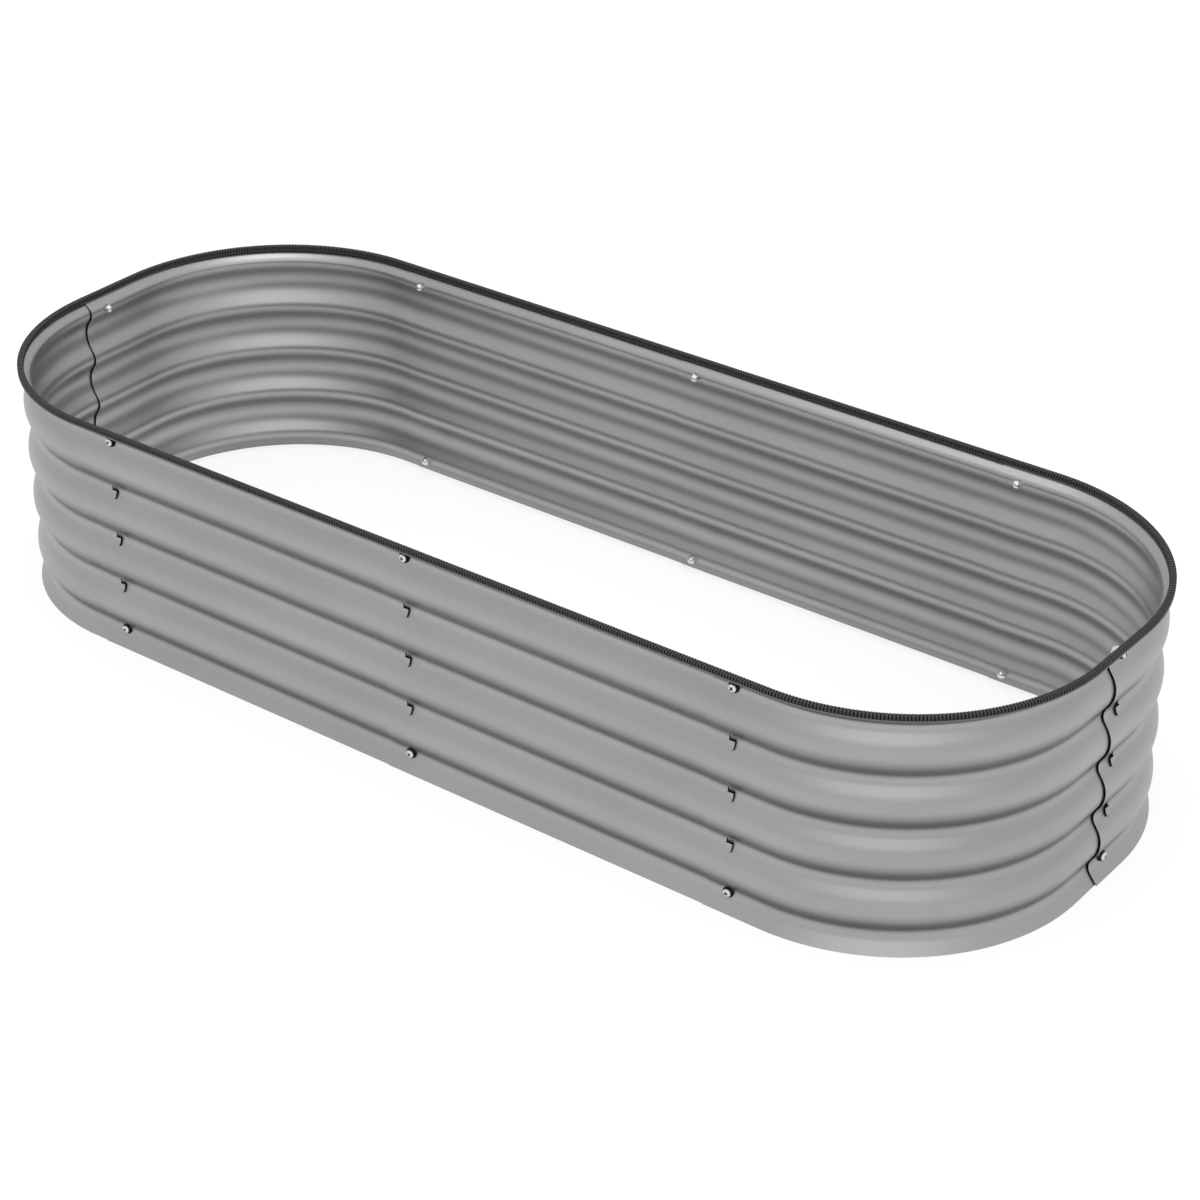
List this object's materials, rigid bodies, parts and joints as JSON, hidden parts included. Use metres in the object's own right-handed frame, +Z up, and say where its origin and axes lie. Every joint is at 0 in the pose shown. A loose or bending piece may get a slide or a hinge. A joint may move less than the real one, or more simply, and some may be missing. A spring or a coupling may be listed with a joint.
{
  "type": "raised garden bed",
  "caption": "Long oval raised garden bed of corrugated sheet-metal panels lapped, hooked and bolted into a ring, open at top and bottom, with a rubber strip over the top edge.",
  "frame": {"origin": "middle of the bed at ground level, in the plane of the panels' bottom edges", "axes": "+X along the length to the right end, -Y towards the front wall, +Z up"},
  "size_m": [1.529, 0.6078, 0.3064],
  "materials": {
    "galvanised_sheet": "satin",
    "zinc_plated_steel": "bright",
    "black_rubber": "matte"
  },
  "bodies": {
    "root": {"front_left_panel": "galvanised_sheet", "front_right_panel": "galvanised_sheet", "right_front_corner": "galvanised_sheet", "right_back_corner": "galvanised_sheet", "back_right_panel": "galvanised_sheet", "back_left_panel": "galvanised_sheet", "left_back_corner": "galvanised_sheet", "left_front_corner": "galvanised_sheet", "bolts": "zinc_plated_steel", "rubber_washers": "black_rubber", "nuts": "zinc_plated_steel", "edge_trim": "black_rubber"}
  },
  "joints": []
}
